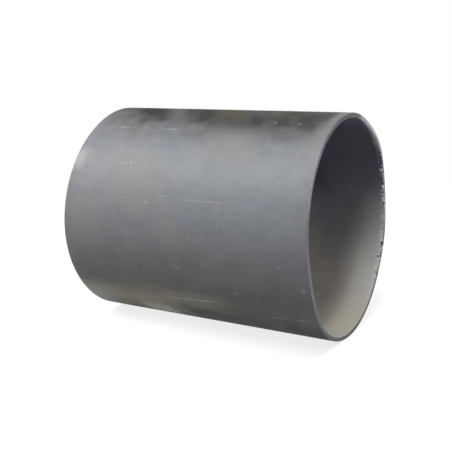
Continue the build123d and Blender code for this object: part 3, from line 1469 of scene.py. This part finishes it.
@dataclass
class SawBurrs:
    """Curled flakes that the saw left hanging along the bore's edge at one end."""

    stock: PipeStock
    finish: bpy.types.Material
    end: PipeEnd
    tears: tuple[Tear, ...]
    run_off: tuple[RunOff, ...]
    places: int = 260
    jitter: float = 0.45
    curl_radius: float = 2.4 * MILLIMETRE
    curl: float = math.radians(70.0)
    curl_points: int = 7
    width: float = 1.9 * MILLIMETRE
    thickness: float = 0.35 * MILLIMETRE
    tip_share: float = 0.35
    least_tilt: tuple[float, float, float] = (-0.6, -0.7, -1.5)
    most_tilt: tuple[float, float, float] = (0.6, 0.9, 1.5)
    least_scale: tuple[float, float, float] = (0.5, 0.6, 0.5)
    most_scale: tuple[float, float, float] = (1.9, 1.8, 2.0)
    sunk: float = 0.5 * MILLIMETRE
    seed: int = 11

    @staticmethod
    def pick(group: NodeGroup, data_type: str, low: object, high: object, step: int) -> Socket:
        """Adds a random value for each flake.

        Args:
            group: The geometry tree.
            data_type: FLOAT or FLOAT_VECTOR.
            low: The least value.
            high: The greatest value.
            step: What is added to the seed, so that each draw differs.

        Returns:
            The value's socket.
        """
        names = ("Min_001", "Max_001") if data_type == "FLOAT" else ("Min", "Max")
        seed = group.math("ADD", group.given["Seed"], float(step))
        node = group.node("FunctionNodeRandomValue", data_type=data_type)
        for identifier, value in zip((*names, "Seed"), (low, high, seed)):
            group.feed(next(socket for socket in node.inputs if socket.identifier == identifier), value)
        return next(socket for socket in node.outputs if socket.enabled)

    def scatter(self) -> NodeGroup:
        """Makes the tree that hangs flakes along the edge.

        Returns:
            The geometry tree.
        """
        numbers = ("Bore Radius", "Centre Height", "Edge Place")
        numbers += ("Curl Radius", "Curl", "Width", "Thickness", "Sunk")
        ports = SocketKind.COUNT.ports("Places", "Seed") | SocketKind.FLOAT.ports(*numbers)
        ports |= SocketKind.MATERIAL.ports("Torn Plastic")
        name = f"{self.end.name.lower()}_burr_scatter"
        group = NodeGroup(name, GEOMETRY_TREE, ports, SocketKind.GEOMETRY.ports("Burrs"))
        given = group.given

        # One flake: a tapering ribbon that heads for the axis and curls into the bore
        arc = {"Resolution": self.curl_points, "Radius": given["Curl Radius"], "Sweep Angle": given["Curl"]}
        curve = group.first("GeometryNodeCurveArc", arc, mode="RADIUS")
        strip = {"Width": given["Thickness"], "Height": given["Width"]}
        ribbon = group.first("GeometryNodeCurvePrimitiveQuadrilateral", strip)
        taper = group.between(group.first("GeometryNodeSplineParameter"), 1.0, self.tip_share)
        swept = {"Curve": curve, "Profile Curve": ribbon, "Scale": taper, "Fill Caps": True}
        flake = group.first("GeometryNodeCurveToMesh", swept)
        to_start = group.join(group.math("MULTIPLY", given["Curl Radius"], -1.0), 0.0, 0.0)
        flake = group.first("GeometryNodeTransform", {"Geometry": flake, "Translation": to_start})
        laid = {"Geometry": flake, "Rotation": (-math.pi / 2, 0.0, 0.0)}
        flake = group.first("GeometryNodeTransform", laid)

        # Places along the edge, unevenly spaced
        index = group.first("GeometryNodeInputIndex")
        spaced = group.math("ADD", index, self.pick(group, "FLOAT", -self.jitter, self.jitter, 0))
        around = group.math("MULTIPLY", group.math("DIVIDE", spaced, given["Places"]), 2.0 * math.pi)
        reach = group.math("ADD", given["Bore Radius"], given["Sunk"])
        longer = group.math("MULTIPLY", cut_run(group, around, self.run_off), self.end.value)
        position = group.join(
            group.math("ADD", given["Edge Place"], longer),
            group.math("MULTIPLY", group.math("MULTIPLY", reach, -1.0), group.math("SINE", around)),
            group.math("MULTIPLY_ADD", reach, group.math("COSINE", around), given["Centre Height"]),
        )
        points = group.first("GeometryNodePoints", {"Count": given["Places"], "Position": position})

        # The flakes that the saw left, only where it tore the edge
        spot = group.from_axis(group.first("GeometryNodeInputPosition"), given["Centre Height"])
        flakes = [(tear, tear.flakes) for tear in self.tears]
        chance = torn_share(group, spot.around, flakes, 0.0)
        left = group.math("LESS_THAN", self.pick(group, "FLOAT", 0.0, 1.0, 1), chance)
        turn = group.join(spot.around, 0.0, 0.0)
        turned = group.first("FunctionNodeEulerToRotation", {"Euler": turn})
        tilt = self.pick(group, "FLOAT_VECTOR", self.least_tilt, self.most_tilt, 2)
        tilted = group.first("FunctionNodeEulerToRotation", {"Euler": tilt})
        turns = {"Rotation": turned, "Rotate By": tilted}
        hung = {
            "Points": points,
            "Selection": left,
            "Instance": flake,
            "Rotation": group.first("FunctionNodeRotateRotation", turns, rotation_space="LOCAL"),
            "Scale": self.pick(group, "FLOAT_VECTOR", self.least_scale, self.most_scale, 3),
        }
        burrs = group.first("GeometryNodeInstanceOnPoints", hung)

        # The finished mesh
        burrs = group.first("GeometryNodeRealizeInstances", {"Geometry": burrs})
        burrs = group.first("GeometryNodeSetShadeSmooth", {"Geometry": burrs, "Shade Smooth": False})
        finished = {"Geometry": burrs, "Material": given["Torn Plastic"]}
        group.put_out("Burrs", group.first("GeometryNodeSetMaterial", finished))
        return group

    def build(self) -> bpy.types.Object:
        """Hangs the flakes at this end.

        Returns:
            The flakes, as one object.
        """
        edge = self.stock.length / 2 - self.stock.bore_edge_break
        return grown(
            f"{self.end.name.lower()}_saw_burrs",
            self.scatter(),
            {
                "Places": self.places,
                "Seed": self.seed,
                "Bore Radius": self.stock.bore_radius,
                "Centre Height": self.stock.outer_radius,
                "Edge Place": edge * self.end.value,
                "Curl Radius": self.curl_radius,
                "Curl": self.curl,
                "Width": self.width,
                "Thickness": self.thickness,
                "Sunk": self.sunk,
                "Torn Plastic": self.finish,
            },
        )

    @staticmethod
    def dress(burrs: bpy.types.Object) -> None:
        """Puts the flakes on the pipe's body."""
        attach(burrs, PIPE_BODY)


@dataclass(frozen=True)
class Softbox:
    """One soft studio lamp."""

    name: str
    place: tuple[float, float, float]
    width: float
    height: float
    watts: float
    aim: tuple[float, float, float] = (0.0, 0.0, 0.125)
    spread: float = 180.0

    def light(self) -> bpy.types.Object:
        """Makes the lamp.

        Returns:
            The lamp's object.
        """
        data = bpy.data.lights.new(self.name, "AREA")
        data.shape = "RECTANGLE"
        data.size = self.width
        data.size_y = self.height
        data.energy = self.watts
        data.spread = math.radians(self.spread)
        lamp = placed(self.name, data)
        lamp.location = self.place
        facing = Vector(self.aim) - Vector(self.place)
        lamp.rotation_euler = facing.to_track_quat("-Z", "Y").to_euler()
        return lamp


@dataclass
class Studio:
    """The floor, the white surroundings, the lamps and the camera."""

    floor_size: float = 40.0
    floor_grey: float = 0.32
    floor_lift: float = 0.80
    near_floor: float = 0.9
    far_floor: float = 1.45
    ambient: float = 0.12
    white_up_to: float = 7.0
    dim_from: float = 19.0
    ceiling: float = 0.15
    camera_place: tuple[float, float, float] = (0.4370, -0.7875, 0.2854)
    camera_azimuth: float = 29.447
    camera_dip: float = 4.893
    lens: float = 60.58
    sensor_width: float = 36.0
    upward_shift: float = -0.1793

    def build(self) -> None:
        """Builds the whole studio."""
        self.place_camera()
        self.whiten_world()
        self.lay_floor()
        for softbox in self.softboxes():
            softbox.light()

    @staticmethod
    def softboxes() -> list[Softbox]:
        """Names the lamps and their places.

        Returns:
            The lamps, the main one first.
        """
        return [
            Softbox("main_softbox", (-0.80, -0.95, 1.37), 1.2, 0.8, 23.2),
            Softbox("mouth_softbox", (0.29, -0.28, 0.96), 0.26, 0.26, 5.6),
            Softbox("low_softbox", (-1.00, -0.66, 0.55), 0.7, 0.7, 4.2),
            Softbox("back_softbox", (0.80, 1.00, 0.60), 0.8, 0.8, 3.0),
            Softbox("rear_softbox", (-0.15, 1.30, 0.24), 0.5, 0.4, 5.0),
        ]

    def place_camera(self) -> None:
        """Makes the camera at the photograph's viewpoint."""
        data = bpy.data.cameras.new("viewpoint")
        data.lens = self.lens
        data.sensor_width = self.sensor_width
        data.shift_y = self.upward_shift
        camera = placed("viewpoint", data)
        camera.location = self.camera_place
        tilt = math.radians(90.0 - self.camera_dip)
        camera.rotation_euler = (tilt, 0.0, math.radians(self.camera_azimuth))
        bpy.context.scene.camera = camera

    @staticmethod
    def sees_background(weaver: Weaver) -> Socket:
        """Makes a mask of the rays that see the plain white surroundings.

        Args:
            weaver: The tree to add it to.

        Returns:
            1 for camera, glossy and transmission rays, and otherwise 0.
        """
        rays = weaver.node("ShaderNodeLightPath").outputs
        either = weaver.math("MAXIMUM", rays["Is Camera Ray"], rays["Is Glossy Ray"])
        return weaver.math("MAXIMUM", either, rays["Is Transmission Ray"])

    def whiten_world(self) -> None:
        """Gives the world a white background under a dimmer ceiling, and a plain ambient light."""
        world = bpy.data.worlds.new("white_surroundings")
        bpy.context.scene.world = world
        world.use_nodes = True
        world.node_tree.nodes.clear()
        weaver = Weaver(world.node_tree)
        ambient = weaver.node("ShaderNodeBackground", {"Color": WHITE, "Strength": self.ambient})
        direction = weaver.node("ShaderNodeTexCoord").outputs["Generated"]
        height = weaver.node("ShaderNodeSeparateXYZ", {"Vector": direction}).outputs["Z"]
        low, high = (math.sin(math.radians(angle)) for angle in (self.white_up_to, self.dim_from))
        shown = weaver.fade(height, low, high, 1.0, self.ceiling)
        white = weaver.node("ShaderNodeBackground", {"Color": WHITE, "Strength": shown})
        mix = weaver.node("ShaderNodeMixShader", {"Fac": self.sees_background(weaver)})
        weaver.feed(mix.inputs[1], ambient.outputs[0])
        weaver.feed(mix.inputs[2], white.outputs[0])
        weaver.node("ShaderNodeOutputWorld", {"Surface": mix.outputs[0]})

    def floor_finish(self) -> bpy.types.Material:
        """Makes the pale floor's finish, which keeps the shadow near the pipe and is white far from it.

        Returns:
            The floor's material.
        """
        material = bpy.data.materials.new("pale_floor")
        material.use_nodes = True
        material.node_tree.nodes.clear()
        weaver = Weaver(material.node_tree)
        grey = (self.floor_grey,) * 3 + (1.0,)
        paint = weaver.node("ShaderNodeBsdfDiffuse", {"Color": grey})
        lift = weaver.node("ShaderNodeEmission", {"Color": WHITE, "Strength": self.floor_lift})
        lifted = weaver.node("ShaderNodeAddShader")
        weaver.feed(lifted.inputs[0], paint.outputs[0])
        weaver.feed(lifted.inputs[1], lift.outputs[0])
        white = weaver.node("ShaderNodeEmission", {"Color": WHITE, "Strength": 1.0})
        place = weaver.node("ShaderNodeTexCoord").outputs["Object"]
        far = weaver.fade(weaver.vector("LENGTH", place), self.near_floor, self.far_floor)
        shown = weaver.node("ShaderNodeMixShader", {"Fac": far})
        weaver.feed(shown.inputs[1], lifted.outputs[0])
        weaver.feed(shown.inputs[2], white.outputs[0])
        whole = weaver.node("ShaderNodeMixShader", {"Fac": self.sees_background(weaver)})
        weaver.feed(whole.inputs[1], paint.outputs[0])
        weaver.feed(whole.inputs[2], shown.outputs[0])
        weaver.node("ShaderNodeOutputMaterial", {"Surface": whole.outputs[0]})
        return material

    def lay_floor(self) -> None:
        """Lays the floor that the pipe lies on."""
        half = self.floor_size / 2
        corners = [(-half, -half, 0.0), (half, -half, 0.0), (half, half, 0.0), (-half, half, 0.0)]
        mesh = bpy.data.meshes.new("floor")
        mesh.from_pydata(corners, [], [(0, 1, 2, 3)])
        mesh.materials.append(self.floor_finish())
        floor = placed("floor", mesh)


def report(piece: bpy.types.Object) -> None:
    """Logs one finished piece and its size in faces."""
    log.info("%s: %d faces", piece.name, len(piece.data.polygons))


def main() -> None:
    """Builds the studio and the pipe's pieces, and reports them."""
    logging.basicConfig(level=logging.INFO, format="%(name)s: %(message)s")
    bpy.context.scene.view_settings.view_transform = "Standard"
    stock = PipeStock.from_frame()
    Studio().build()

    effects = WeatherEffects(stock)
    wall_maker = PipeWall(
        stock,
        skin=ExtrudedSkin().material(effects),
        bore=DustyBore().material(effects),
        sawn=SawnFace().material(effects),
    )
    wall = wall_maker.build()
    wall_maker.dress(wall)
    report(wall)

    torn_plastic = TornPlastic().material(effects)
    cuts = {
        PipeEnd.NEAR: (wall_maker.near_tears, wall_maker.near_run_off),
        PipeEnd.FAR: (wall_maker.far_tears, wall_maker.far_run_off),
    }
    for end, (tears, run_off) in cuts.items():
        burr_maker = SawBurrs(stock, torn_plastic, end, tears, run_off)
        burrs = burr_maker.build()
        burr_maker.dress(burrs)
        report(burrs)


if __name__ == "__main__":
    main()
